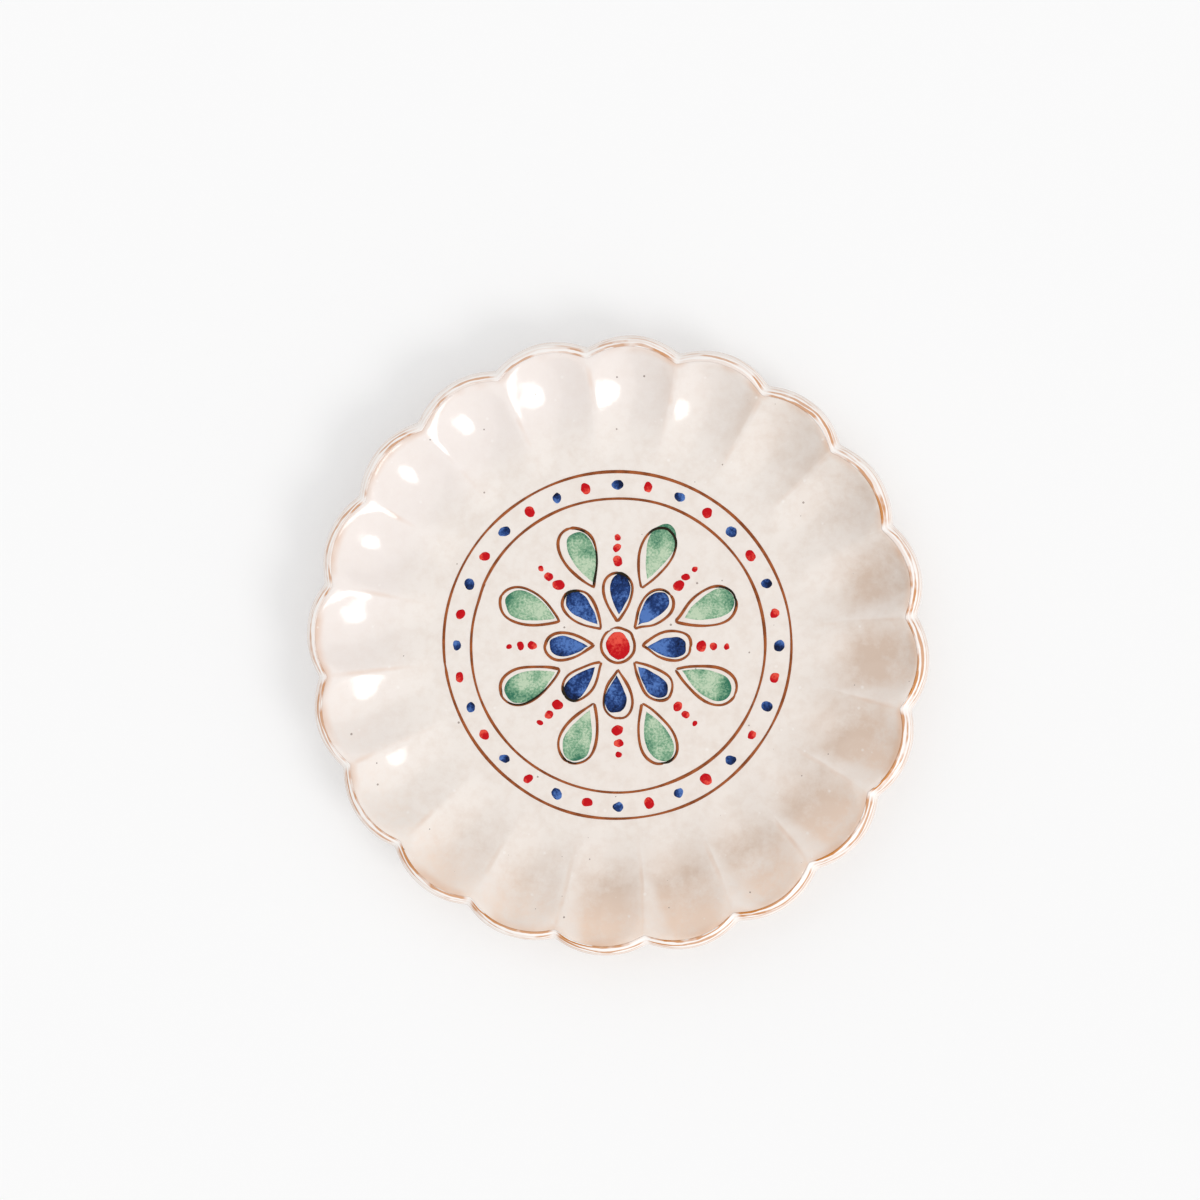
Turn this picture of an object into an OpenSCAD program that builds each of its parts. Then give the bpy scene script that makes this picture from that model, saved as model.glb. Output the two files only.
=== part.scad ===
// Scalloped dessert plate in tin-glazed earthenware, with a painted rosette on its floor.
// The origin is on the table under the centre of the plate, with +Z up.

/* [Plate] */
// Distance across two opposite lobe tips
plate_d = 210; // [190:1:250]
// Height from the table to the top of the lip
plate_h = 20; // [18:0.5:26]
// Number of lobes round the rim
lobe_count = 20; // [12:2:28]
// How far the notches lie inside the lobe tips
lobe_depth = 3.9; // [1.5:0.1:6]
// Direction of the first notch, in degrees from +X
notch_angle = 5.8; // [0:0.1:18]

/* [Wall] */
// Thickness of the finished wall, with its glaze
wall_t = 5.5; // [4:0.1:7]
// Width of the fluted wall, from the edge of the floor to a lobe tip
wall_run = 42; // [36:0.5:50]
// Slope of the wall where it meets the lip, in degrees
rim_slope = 40; // [35:1:50]
// Share of the wall's width over which the bottom of a flute stays level
flute_level = 0.36; // [0.2:0.02:0.6]
// How late the bottom of a flute turns up to the lip
flute_turn = 2.2; // [1.6:0.1:3]
// How late the ridges between the flutes turn up to the lip
ridge_turn = 1.4; // [1.2:0.1:2]
// How late the sides of a flute turn up to its ridges
flute_sides = 1.65; // [1.3:0.05:2.5]
// How far the rounded lip stands past the end of the wall
lip_crown = 1.1; // [0.4:0.1:2]

/* [Glaze] */
// Thickness of the glaze on the face, the back and the base
glaze_t = 0.5; // [0.3:0.05:0.8]
// Thickness of the thin glaze that is left on the lip
lip_glaze_t = 0.3; // [0.15:0.05:0.5]

/* [Foot] */
// Distance from the edge of the floor to the outside of the foot ring
foot_inset = 3; // [2:0.5:10]
// Width of the foot ring
foot_w = 7; // [5:0.5:10]
// Height of the foot ring below the base
foot_h = 4; // [3:0.5:6]
// Radius of the foot ring's worn edges
foot_round = 1.2; // [0.5:0.1:2]

/* [Painting] */
// Number of petals in the rosette
petal_count = 8; // [6:1:10]
// Width of the painted lines
line_w = 1; // [0.6:0.1:1.4]
// Thickness of the painted lines and washes
wash_t = 0.15; // [0.1:0.05:0.25]
// Thickness of the raised enamel dots and petals
enamel_t = 0.3; // [0.2:0.05:0.5]
// Radius of a border dot
dot_r = 1.7; // [1.2:0.1:2]
// Number of dots in the border, in two colours by turns
dot_count = 32; // [16:2:40]
// Gap between the floor's edge and the outer border line
border_inset = 4; // [3:0.5:10]
// Distance between the two border lines
border_w = 9; // [7:0.5:11]
// Radius of the red disc at the centre
centre_r = 4; // [3:0.1:5]
// Length of a blue petal
petal_l = 14; // [10:0.5:18]
// Width of a blue petal
petal_w = 7; // [5:0.5:9]
// Width of a green drop
drop_w = 9.5; // [6:0.5:12]
// Gap between the green drops and the inner border line
drop_gap = 6; // [2:0.5:10]
// Gap between neighbouring strokes of the brush
stroke_gap = 0.8; // [0.5:0.1:1.2]

/* [Hidden] */

clay_colour = "#b5713f";
glaze_colour = "#f0e8e2";
lip_colour = "#ddc6b4";
brown_colour = "#9a5530";
green_colour = "#6fae8c";
blue_colour = "#22407f";
red_colour = "#d1252b";

// Steps that a curve is drawn with
steps_per_lobe = 6;
wall_steps = 9;
lip_steps = 4;
corner_steps = 6;
stroke_steps = 24;
$fn = 96;

// Outline: one arc for each lobe, and neighbouring arcs cross at a notch
lobe_step = 360 / lobe_count;
tip_r = plate_d / 2;
notch_r = tip_r - lobe_depth;
lobe_centre_r = (tip_r ^ 2 - notch_r ^ 2) / (2 * (tip_r - notch_r * cos(lobe_step / 2)));
lobe_r = tip_r - lobe_centre_r;
grid_count = lobe_count * steps_per_lobe;

function grid_angle(j) = notch_angle + j * lobe_step / steps_per_lobe;
function lobe_angle(a) = ((a - notch_angle) % lobe_step) - lobe_step / 2;
function outline_r(a) =
    let (x = lobe_angle(a))
    lobe_centre_r * cos(x) + sqrt(lobe_r ^ 2 - (lobe_centre_r * sin(x)) ^ 2);

// Heights and radii that the pieces share
floor_r = tip_r - wall_run;
floor_z = foot_h + wall_t;
foot_r = floor_r - foot_inset;
foot_bore_r = foot_r - foot_w;
clay_under_z = foot_h + glaze_t;

// Lip: it crosses the end of the wall from the face, at depth 0, to the back, at depth wall_t
along_wall = [cos(rim_slope), sin(rim_slope)];
into_wall = [sin(rim_slope), -cos(rim_slope)];
clay_depths = [for (k = [0:lip_steps]) glaze_t + (wall_t - 2 * glaze_t) * k / lip_steps];
lip_depths = concat([0], clay_depths, [wall_t]);
function lip_offset(d, coat) =
    d * into_wall + (lip_crown * sin(180 * d / wall_t) + coat) * along_wall;
lip_reach = max([for (d = lip_depths) lip_offset(d, lip_glaze_t).x]);
lip_rise = max([for (d = lip_depths) lip_offset(d, lip_glaze_t).y]);

// Wall in the half-plane at angle a, from the level floor at share 0 to the lip at share 1.
// The ridges rise from the floor's edge, and the flutes between them turn up later.
edge_z = plate_h - lip_rise;
function edge_point(a) = [outline_r(a) - lip_reach, edge_z];
function wall_rise(a, share) =
    let (
        across = abs(lobe_angle(a)) / (lobe_step / 2),
        bottom = (max(0, share - flute_level) / (1 - flute_level)) ^ flute_turn,
        ridge = share ^ ridge_turn
    )
    bottom + (ridge - bottom) * across ^ flute_sides;
function wall_point(a, share, depth) =
    let (edge = edge_point(a), lean = rim_slope * share ^ 2)
    [
        floor_r + share * (edge.x - floor_r) + depth * sin(lean),
        floor_z + wall_rise(a, share) * (edge_z - floor_z) - depth * cos(lean)
    ];
function lip_point(a, depth, coat = 0) = edge_point(a) + lip_offset(depth, coat);
function wall_out(a, depth) = [for (k = [0:wall_steps - 1]) wall_point(a, k / wall_steps, depth)];
function reversed(list) = [for (k = [len(list) - 1:-1:0]) list[k]];

// Solid that follows one section at each grid angle, clockwise with +R to the right and +Z up.
// With centre_z = [top, bottom] the section starts and ends on the axis; without it, it is a loop.
module swept(sections, centre_z = []) {
    n = len(sections[0]);
    is_disc = len(centre_z) == 2;
    last = is_disc ? n - 2 : n - 1;
    top = grid_count * n;
    function at(j, i) = (j % grid_count) * n + i % n;
    rim_points = [
        for (j = [0:grid_count - 1], p = sections[j])
            [p.x * cos(grid_angle(j)), p.x * sin(grid_angle(j)), p.y]
    ];
    // Each patch is split along its higher diagonal, so coats that touch are split alike
    function height(k) = rim_points[k].z;
    side_faces = [
        for (j = [0:grid_count - 1], i = [0:last])
            let (a = at(j, i), b = at(j + 1, i), c = at(j + 1, i + 1), d = at(j, i + 1))
            each height(a) + height(c) > height(b) + height(d)
                ? [[a, b, c], [a, c, d]]
                : [[a, b, d], [b, c, d]]
    ];
    disc_faces = [
        for (j = [0:grid_count - 1])
            each [[top, at(j + 1, 0), at(j, 0)], [top + 1, at(j, n - 1), at(j + 1, n - 1)]]
    ];
    polyhedron(
        points = concat(rim_points, [for (z = centre_z) [0, 0, z]]),
        faces = is_disc ? concat(side_faces, disc_faces) : side_faces
    );
}

function grid_sections(make) = [for (j = [0:grid_count - 1]) make(grid_angle(j))];

// Terracotta body, pressed over a fluted mould
module clay_body() {
    section = function (a) concat(
        wall_out(a, glaze_t),
        [for (d = clay_depths) lip_point(a, d)],
        reversed(wall_out(a, wall_t - glaze_t))
    );
    color(clay_colour) swept(grid_sections(section), [floor_z - glaze_t, clay_under_z]);
}

// Ring of clay under the base, bare where it stands
module foot_ring() {
    function corner(x, from) = [
        for (k = [0:corner_steps])
            let (t = from + 90 * k / corner_steps)
            [x + foot_round * cos(t), foot_round * (1 + sin(t))]
    ];
    color(clay_colour)
        rotate_extrude()
            polygon(concat(
                [[foot_r, clay_under_z], [foot_bore_r, clay_under_z]],
                corner(foot_bore_r + foot_round, 180),
                corner(foot_r - foot_round, 270)
            ));
}

// Cream glaze over the floor and the flutes
module face_glaze() {
    section = function (a) concat(
        wall_out(a, 0),
        [lip_point(a, 0), lip_point(a, glaze_t)],
        reversed(wall_out(a, glaze_t))
    );
    color(glaze_colour) swept(grid_sections(section), [floor_z, floor_z - glaze_t]);
}

// Cream glaze under the flutes, from the lip in to the foot ring
module back_glaze() {
    inner_r = foot_r / cos(180 / grid_count);
    section = function (a) concat(
        [[inner_r, clay_under_z]],
        wall_out(a, wall_t - glaze_t),
        [lip_point(a, wall_t - glaze_t), lip_point(a, wall_t)],
        reversed(wall_out(a, wall_t)),
        [[inner_r, foot_h]]
    );
    color(glaze_colour) swept(grid_sections(section));
}

// Cream glaze on the base, inside the foot ring
module base_glaze() {
    color(glaze_colour) translate([0, 0, foot_h]) cylinder(r = foot_bore_r, h = glaze_t);
}

// Thin glaze round the lip, which joins the coats on the face and the back
module lip_glaze() {
    section = function (a) concat(
        [for (d = lip_depths) lip_point(a, d, lip_glaze_t)],
        [for (d = reversed(lip_depths)) lip_point(a, d)]
    );
    color(lip_colour) swept(grid_sections(section));
}

// Painting: a rosette of petals, drops between them, and a dotted border
petal_step = 360 / petal_count;
stroke_room = line_w + stroke_gap;
ring_r = centre_r + stroke_room;
border_r = floor_r - border_inset;
inner_border_r = border_r - border_w;
petal_size = [petal_l, petal_w];
petal_from_r = ring_r + 2 * stroke_room;
drop_from_r = petal_from_r + petal_l - stroke_gap;
drop_size = [inner_border_r - line_w / 2 - drop_gap - stroke_room - drop_from_r, drop_w];
dot_ring_r = border_r - border_w / 2;
dot_step = 360 / dot_count;
row_r = [dot_r, 0.8 * dot_r, 0.6 * dot_r];
row_pitch = 2 * dot_r + stroke_gap;

// Height of the widest part of the curve that a stroke follows
stroke_peak = 4 * sqrt(3) / 9;

// Flat stroke of a loaded brush: a point at the origin that swells to a round end along +X
module stroke(size, grow = 0) {
    length = size.x + 2 * grow;
    width = size.y + 2 * grow;
    polygon([
        for (k = [0:stroke_steps - 1])
            let (t = 360 * k / stroke_steps)
            [
                length / 2 * (1 - cos(t)) - grow,
                width / 2 * sin(t) * sin(t / 2) / stroke_peak
            ]
    ]);
}

module ring_line(r) {
    difference() {
        circle(r = r + line_w / 2);
        circle(r = r - line_w / 2);
    }
}

module stroke_outline(size) {
    difference() {
        stroke(size, stroke_room);
        stroke(size, stroke_gap);
    }
}

module on_petals(r, turn = 0) {
    for (k = [0:petal_count - 1])
        rotate(petal_step * (k + turn)) translate([r, 0]) children();
}

module border_dots(turn) {
    for (k = [turn:2:dot_count - 1])
        rotate(dot_step * k) translate([dot_ring_r, 0]) circle(r = dot_r);
}

module painted(colour, thickness) {
    color(colour) translate([0, 0, floor_z]) linear_extrude(thickness) children();
}

// Iron-brown outlines and border lines
module brown_lines() {
    painted(brown_colour, wash_t) {
        for (r = [ring_r, inner_border_r, border_r]) ring_line(r);
        on_petals(petal_from_r) stroke_outline(petal_size);
        on_petals(drop_from_r, 0.5) stroke_outline(drop_size);
    }
}

// Copper-green drops between the petals
module green_drops() {
    painted(green_colour, wash_t) on_petals(drop_from_r, 0.5) stroke(drop_size);
}

// Cobalt petals and every other border dot
module blue_enamel() {
    painted(blue_colour, enamel_t) {
        on_petals(petal_from_r) stroke(petal_size);
        border_dots(0);
    }
}

// Red centre, rows of dots beyond the petals, and the other border dots
module red_enamel() {
    row_from_r = petal_from_r + petal_l + 2 * stroke_room + dot_r;
    painted(red_colour, enamel_t) {
        circle(r = centre_r);
        for (k = [0:len(row_r) - 1])
            on_petals(row_from_r + k * row_pitch) circle(r = row_r[k]);
        border_dots(1);
    }
}

clay_body();
foot_ring();
face_glaze();
back_glaze();
base_glaze();
lip_glaze();
brown_lines();
green_drops();
blue_enamel();
red_enamel();
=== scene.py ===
import math

import bmesh
import bpy
import numpy as np
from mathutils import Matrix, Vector
from mathutils.bvhtree import BVHTree


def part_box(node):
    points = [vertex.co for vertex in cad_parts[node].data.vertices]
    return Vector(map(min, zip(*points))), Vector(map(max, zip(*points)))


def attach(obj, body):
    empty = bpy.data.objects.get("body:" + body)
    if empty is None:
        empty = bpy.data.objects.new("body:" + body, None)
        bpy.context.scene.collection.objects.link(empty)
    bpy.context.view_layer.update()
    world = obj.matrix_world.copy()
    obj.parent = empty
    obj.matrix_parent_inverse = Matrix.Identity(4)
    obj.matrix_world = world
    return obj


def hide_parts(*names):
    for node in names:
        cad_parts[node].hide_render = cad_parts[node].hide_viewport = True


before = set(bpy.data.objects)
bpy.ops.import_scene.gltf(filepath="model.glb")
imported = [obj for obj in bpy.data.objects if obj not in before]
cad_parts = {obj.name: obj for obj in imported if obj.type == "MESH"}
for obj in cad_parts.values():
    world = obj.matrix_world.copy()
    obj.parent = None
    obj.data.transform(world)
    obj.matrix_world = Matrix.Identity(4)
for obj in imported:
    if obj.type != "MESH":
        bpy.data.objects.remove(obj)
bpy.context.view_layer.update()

bl_info = {
    "name": "Scalloped dessert plate",
    "version": (1, 0, 0),
    "blender": (4, 5, 0),
    "location": "View3D > Sidebar > Plate",
    "description": "Builds a glazed and painted scalloped plate over its CAD model",
    "category": "Add Mesh",
}

MM = 0.001
PLATE_D = 210 * MM

# Heights that the CAD model sets
FLOOR_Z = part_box("brown_lines")[0].z
PLATE_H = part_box("lip_glaze")[1].z
FOOT_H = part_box("base_glaze")[0].z
GLAZE_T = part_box("base_glaze")[1].z - FOOT_H


def linear(code):
    """Linear colour, with alpha, of an sRGB hex code."""
    channels = [int(code[k:k + 2], 16) / 255 for k in (1, 3, 5)]
    return (*[c / 12.92 if c <= 0.04045 else ((c + 0.055) / 1.055) ** 2.4 for c in channels], 1.0)


def length(name, description, metres):
    return bpy.props.FloatProperty(
        name=name, description=description, default=metres, min=0.0, precision=5, unit="LENGTH"
    )


def share(name, description, default):
    return bpy.props.FloatProperty(name=name, description=description, default=default, min=0.0)


def angle(name, description, degrees):
    return bpy.props.FloatProperty(
        name=name, description=description, default=math.radians(degrees), subtype="ANGLE"
    )


def count(name, description, default):
    return bpy.props.IntProperty(name=name, description=description, default=default, min=2)


def colour(name, description, code):
    return bpy.props.FloatVectorProperty(
        name=name, description=description, default=linear(code), size=4, min=0.0, max=1.0, subtype="COLOR"
    )


class PlateSizes(bpy.types.PropertyGroup):
    """Sizes of the plate and its painting"""

    plate_d: length("Diameter", "Distance across two opposite lobe tips", PLATE_D)
    plate_h: length("Height", "Height from the table to the top of the lip", PLATE_H)
    lobe_count: count("Lobes", "Number of lobes round the rim", 20)
    lobe_depth: length("Lobe depth", "How far the notches lie inside the lobe tips", 3.9 * MM)
    notch_angle: angle("First notch", "Direction of the first notch", 5.8)
    wall_t: length("Wall", "Thickness of the finished wall", 5.5 * MM)
    wall_run: length("Wall width", "From the edge of the floor to a lobe tip", 42 * MM)
    flute_level: share("Level share", "Share of the wall's width where a flute's bottom stays level", 0.36)
    flute_turn: share("Flute turn", "How late a flute's bottom turns up to the lip", 2.2)
    ridge_turn: share("Ridge turn", "How late the ridges turn up to the lip", 1.2)
    flute_sides: share("Flute sides", "How late a flute's sides turn up to its ridges", 1.65)
    rim_slope: angle("Rim slope", "Slope of the wall at the lip", 40)
    lip_crown: length("Lip crown", "How far the lip stands past the end of the wall", 1.1 * MM)
    glaze_t: length("Glaze", "Thickness of the glaze", GLAZE_T)
    lip_glaze_t: length("Lip glaze", "Thickness of the glaze on the lip", 0.3 * MM)
    floor_z: length("Floor height", "Height of the floor's glaze above the table", FLOOR_Z)
    foot_h: length("Foot height", "Height of the base above the table", FOOT_H)
    foot_r: length("Foot radius", "Outside radius of the foot ring", 60 * MM)
    foot_w: length("Foot width", "Width of the foot ring", 7 * MM)
    foot_edge_r: length("Foot edges", "Radius of the foot ring's worn edges", 1.2 * MM)
    hand_wobble: length("Hand wobble", "How far the hand-pressed rim strays", 2.2 * MM)
    edge_drift: bpy.props.FloatVectorProperty(
        name="Edge drift", description="How far the lip's inner edge lies off the centre", size=3,
        default=(-0.75 * MM, -0.25 * MM, 0.0), precision=5, subtype="TRANSLATION"
    )
    wobble_span: length("Wobble span", "Distance from one stray to the next", 38 * MM)
    petal_count: count("Petals", "Number of petals in the rosette", 8)
    line_w: length("Line width", "Width of the painted lines", 1.0 * MM)
    stroke_gap: length("Stroke gap", "Gap between a colour and its outline", 0.8 * MM)
    dot_r: length("Dot radius", "Radius of a border dot", 1.7 * MM)
    dot_count: count("Border dots", "Number of dots in the border", 32)
    centre_r: length("Centre radius", "Radius of the red disc at the centre", 4 * MM)
    ring_r: length("Centre ring", "Radius of the line round the centre", 5.8 * MM)
    petal_from_r: length("Petal start", "Radius at which the petals start", 9.4 * MM)
    petal_l: length("Petal length", "Length of a blue petal", 14 * MM)
    petal_w: length("Petal width", "Width of a blue petal", 7 * MM)
    drop_from_r: length("Drop start", "Radius at which the green drops start", 22.6 * MM)
    drop_l: length("Drop length", "Length of a green drop", 19.1 * MM)
    drop_w: length("Drop width", "Width of a green drop", 9.5 * MM)
    inner_border_r: length("Inner border", "Radius of the inner border line", 50 * MM)
    border_r: length("Outer border", "Radius of the outer border line", 59 * MM)


class PlateColours(bpy.types.PropertyGroup):
    """Colours of the plate and its painting"""

    cream: colour("Cream glaze", "Glaze where it lies thick", "#eee6df")
    # Pale is also mixed into the wedges on the blushed side, in part as painted light
    pale: colour("Pale speck", "Glaze where a bubble healed", "#f7f2ee")
    # Painted sheen: the whiter glaze on the walls that face the lamp
    painted_sheen: colour("Milky glaze", "Glaze on the wall away from the fire", "#ece3df")
    # The blush's tan is mostly painted shade on the walls that face away from the lamp; it also tints the lip
    tan: colour("Tan blush", "Glaze where it lies thin in the flutes", "#d3bdac")
    # Painted light: the lighter blush near the rim, most of all at the front
    peach_painted_light: colour("Peach blush", "Glaze where the blush fades out to the rim", "#efd5c1")
    warm: colour("Warm edge", "Glaze where it breaks over an edge", "#d3a27c")
    clay: colour("Clay", "Bare terracotta", "#b5713f")
    clay_dark: colour("Dark clay", "Bare terracotta where it is handled", "#8c5230")
    clay_line: colour("Clay line", "Terracotta that shows through on the lip", "#c47a22")
    speck: colour("Iron speck", "Dark speck in the glaze", "#7d6c62")
    brown: colour("Iron brown", "Painted line on the glaze", "#a25a30")
    brown_dark: colour("Dark brown", "Painted line where the paint lies thick", "#824522")
    line_dark: colour("Line on colour", "Painted line where it crosses a wash", "#262013")
    green_thin: colour("Thin green", "Green wash where it runs thin", "#bdd0b4")
    green: colour("Copper green", "Green wash", "#82ab8a")
    green_dark: colour("Pooled green", "Green wash where it pools", "#357259")
    blue_thin: colour("Thin blue", "Blue where the brush ran dry", "#5176b8")
    blue: colour("Cobalt blue", "Blue enamel", "#213d76")
    blue_dark: colour("Pooled blue", "Blue where it pools", "#091636")
    red_thin: colour("Thin red", "Red where the brush ran dry", "#e65243")
    red: colour("Enamel red", "Red enamel", "#c00d18")
    table: colour("Table", "Floor under the plate", "#d0d0d0")


def fill_inputs(tree, node, inputs):
    """Sets or links a node's inputs, by name, by number or in their order. Each is a value, or what it links
    from: a socket, or a node by its first output."""
    for key, value in inputs.items() if isinstance(inputs, dict) else enumerate(inputs):
        if isinstance(value, bpy.types.Node):
            value = value.outputs[0]
        if isinstance(value, bpy.types.NodeSocket):
            tree.links.new(value, node.inputs[key])
        else:
            node.inputs[key].default_value = value


def add_node(tree, kind, inputs=(), ramp=(), **settings):
    """Adds a node with its settings and links, and the colours of its ramp as (place, colour)."""
    node = tree.nodes.new(kind)
    for key, value in settings.items():
        setattr(node, key, value)
    fill_inputs(tree, node, inputs)
    if ramp:
        elements = node.color_ramp.elements
        while len(elements) < len(ramp):
            elements.new(1.0)
        for element, (place, tint) in zip(elements, ramp):
            element.position = place
            element.color = tint
    return node


# Sockets of a Mix node that mixes colours
MIX_A = 6
MIX_B = 7
MIX_OUT = 2

SMOOTH = {"interpolation_type": "SMOOTHSTEP"}
WHITE = (1.0, 1.0, 1.0, 1.0)


def new_material(name):
    """Empty material with a Principled shader: the material, its tree, the shader and Object coordinates."""
    material = bpy.data.materials.new(name)
    material.use_nodes = True
    tree = material.node_tree
    tree.nodes.clear()
    shader = add_node(tree, "ShaderNodeBsdfPrincipled")
    add_node(tree, "ShaderNodeOutputMaterial", {"Surface": shader})
    coords = add_node(tree, "ShaderNodeTexCoord").outputs["Object"]
    return material, tree, shader, coords


def per_metre(span):
    """Texture scale at which one feature covers a span in metres."""
    return 1.0 / span


def layered(tree, tint, layers):
    """Colour with layers over it, each as how much of it shows and its colour."""
    for amount, over in layers:
        mixed = add_node(tree, "ShaderNodeMix", {0: amount, MIX_A: tint, MIX_B: over}, data_type="RGBA")
        tint = mixed.outputs[MIX_OUT]
    return tint


# Direction towards the lamp, on whose side the walls face away from it and take painted shade, and of the
# flutes whose clockwise sides take painted shade of their own
LAMP_SIDE = (0.72, -0.69, 0.0)
SHADED_FLANK_SIDE = (0.454, 0.891, 0.0)

# Share of the blush, mostly painted shade, that reaches the floor, share of it that shows in the wedges where
# the glaze ran thick and light is painted, and how ragged the edge of those wedges is
FLOOR_BLUSH_AND_SHADE = 0.14
WEDGE_BLUSH_AND_SHADE = 0.55
WEDGE_RAGGED = 0.9

# Specks lie in cells: the width of a cell, and the largest radius of a speck as a share of it
IRON_CELL = 9 * MM
IRON_R = 0.043
IRON_SHOWN = 0.75
PALE_CELL = 7 * MM
PALE_R = 0.11
PALE_SOFT = 0.07
PALE_SHOWN = 0.45

# Swells, ripples and orange peel of the glaze, as span, strength and depth
GLAZE_RELIEF = ((11 * MM, 0.5, 0.35 * MM), (5 * MM, 0.5, 0.16 * MM), (1.6 * MM, 0.25, 0.03 * MM))


def glaze_material(colours):
    """Tin glaze on earthenware, dipped and fired: a glossy cream coat, tan where it runs thin over edges,
    with soft mottling, iron specks and a gently uneven surface. A tan blush in the flutes is partly the
    glaze's own and mostly painted shade on the walls that face away from the lamp; whiter glaze on the walls
    that face it is painted sheen."""
    material, tree, shader, coords = new_material("cream_tin_glaze")
    wall, ridge, flank = [
        add_node(tree, "ShaderNodeAttribute", attribute_name=name).outputs["Fac"]
        for name in ("wall", "ridge", "flank")
    ]
    to_lamp, to_shaded_flanks = [
        add_node(tree, "ShaderNodeVectorMath", (coords, side), operation="DOT_PRODUCT").outputs["Value"]
        for side in (LAMP_SIDE, SHADED_FLANK_SIDE)
    ]
    to_back = add_node(tree, "ShaderNodeSeparateXYZ", (coords,)).outputs["Y"]
    # Clouds 26 mm across, mottling 4 mm across and patches 14 mm across
    cloud, mottle, patch = [
        add_node(
            tree, "ShaderNodeTexNoise",
            {"Vector": coords, "Scale": per_metre(span), "Detail": detail, "Roughness": roughness}
        )
        for span, detail, roughness in ((26 * MM, 6.0, 0.72), (4 * MM, 4.0, 0.65), (14 * MM, 2.0, 0.5))
    ]

    # Tan blush, partly the glaze's own tan and mostly painted shade: on the lamp's side, where the walls face
    # away from the lamp, faint on the floor and in clouds in the troughs of the flutes, where it starts
    # further out at the back
    lamp_side_share = add_node(tree, "ShaderNodeMapRange", (to_lamp, -50 * MM, 85 * MM, 0.08, 1.0), **SMOOTH)
    wall_share = add_node(tree, "ShaderNodeMapRange", (wall, 0.0, 0.62), **SMOOTH)
    blush_and_shade_from = add_node(tree, "ShaderNodeMapRange", (to_back, -15 * MM, 30 * MM, 0.0, 0.22))
    blush_and_shade = add_node(tree, "ShaderNodeMapRange", (wall, blush_and_shade_from, 0.68), **SMOOTH)
    trough_share = add_node(tree, "ShaderNodeMapRange", (ridge, 0.35, 1.0, 1.0, 0.35))
    cloud_share = add_node(tree, "ShaderNodeMapRange", (cloud, 0.36, 0.62, 0.15, 1.0))
    # On the clockwise side of each flute a wedge that widens to the rim holds the blush back: partly glaze
    # that ran thick, partly painted light on the facet there
    wedge_edge = add_node(tree, "ShaderNodeMapRange", (wall, 0.3, 1.0, 1.0, 0.4))
    wedge = add_node(tree, "ShaderNodeMath", (flank, wedge_edge), operation="SUBTRACT")
    wedge = add_node(tree, "ShaderNodeMath", (cloud, WEDGE_RAGGED, wedge), operation="MULTIPLY_ADD")
    wedge_share = add_node(tree, "ShaderNodeMapRange", (wedge, 0.32, 0.62, 1.0, WEDGE_BLUSH_AND_SHADE), **SMOOTH)
    for part in (trough_share, wedge_share):
        blush_and_shade = add_node(tree, "ShaderNodeMath", (blush_and_shade, part), operation="MULTIPLY")
    blush_and_shade = add_node(tree, "ShaderNodeMath", (blush_and_shade, cloud_share, FLOOR_BLUSH_AND_SHADE), operation="MULTIPLY_ADD")
    blush_and_shade = add_node(tree, "ShaderNodeMath", (blush_and_shade, lamp_side_share), operation="MULTIPLY")
    # At the back the clockwise sides of the flutes, which face away from the lamp, are tanned as well:
    # painted shade.
    # Thin spots mottle it all
    shaded_flank_reach = add_node(tree, "ShaderNodeMapRange", (to_shaded_flanks, 64 * MM, 90 * MM, 0.0, 0.5))
    shaded_flank = add_node(tree, "ShaderNodeMapRange", (flank, 0.5, 0.9, 0.0, shaded_flank_reach), **SMOOTH)
    mottle_share = add_node(tree, "ShaderNodeMapRange", (mottle, 0.42, 0.7, 0.0, 0.24))
    blush_and_shade = add_node(tree, "ShaderNodeMath", (blush_and_shade, shaded_flank), operation="ADD")
    blush_and_shade = add_node(tree, "ShaderNodeMath", (blush_and_shade, mottle_share), operation="ADD", use_clamp=True)
    # Near the rim it turns to a lighter peach, most of all at the front: painted light, so that the steep
    # wall there looks less shaded
    front_share = add_node(tree, "ShaderNodeMapRange", (to_back, -70 * MM, 20 * MM, 1.0, 0.1))
    rim_light_share = add_node(tree, "ShaderNodeMapRange", (wall, 0.5, 0.85, 0.0, front_share))
    blush_and_shade_tint = layered(tree, colours.tan, [(rim_light_share, colours.peach_painted_light)])

    # Whiter glaze on the wall that faces the lamp: painted sheen. On the blushed side, pale in the wedges:
    # partly glaze that ran thick, partly painted light
    sheen_share = add_node(tree, "ShaderNodeMapRange", (to_lamp, -75 * MM, -15 * MM, 0.7, 0.0))
    sheen_share = add_node(tree, "ShaderNodeMath", (sheen_share, wall_share), operation="MULTIPLY")
    thick_glaze_and_light_share = add_node(tree, "ShaderNodeMapRange", (wedge_share, WEDGE_BLUSH_AND_SHADE, 1.0, 0.15, 0.0))
    thick_glaze_and_light_share = add_node(tree, "ShaderNodeMath", (thick_glaze_and_light_share, lamp_side_share), operation="MULTIPLY")

    # Warm lines, in patches: the glaze breaks thin along the ridges and just inside the lip
    patch_share = add_node(tree, "ShaderNodeMapRange", (patch, 0.42, 0.66))
    ridge_share = add_node(tree, "ShaderNodeMapRange", (ridge, 0.9, 1.0, 0.0, 0.32), **SMOOTH)
    ridge_share = add_node(tree, "ShaderNodeMath", (ridge_share, wall_share), operation="MULTIPLY")
    rim_share = add_node(tree, "ShaderNodeMapRange", (wall, 0.92, 1.0, 0.0, 0.55), **SMOOTH)
    warm_share = add_node(tree, "ShaderNodeMath", (ridge_share, rim_share), operation="MAXIMUM")
    warm_share = add_node(tree, "ShaderNodeMath", (warm_share, patch_share), operation="MULTIPLY")

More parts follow.
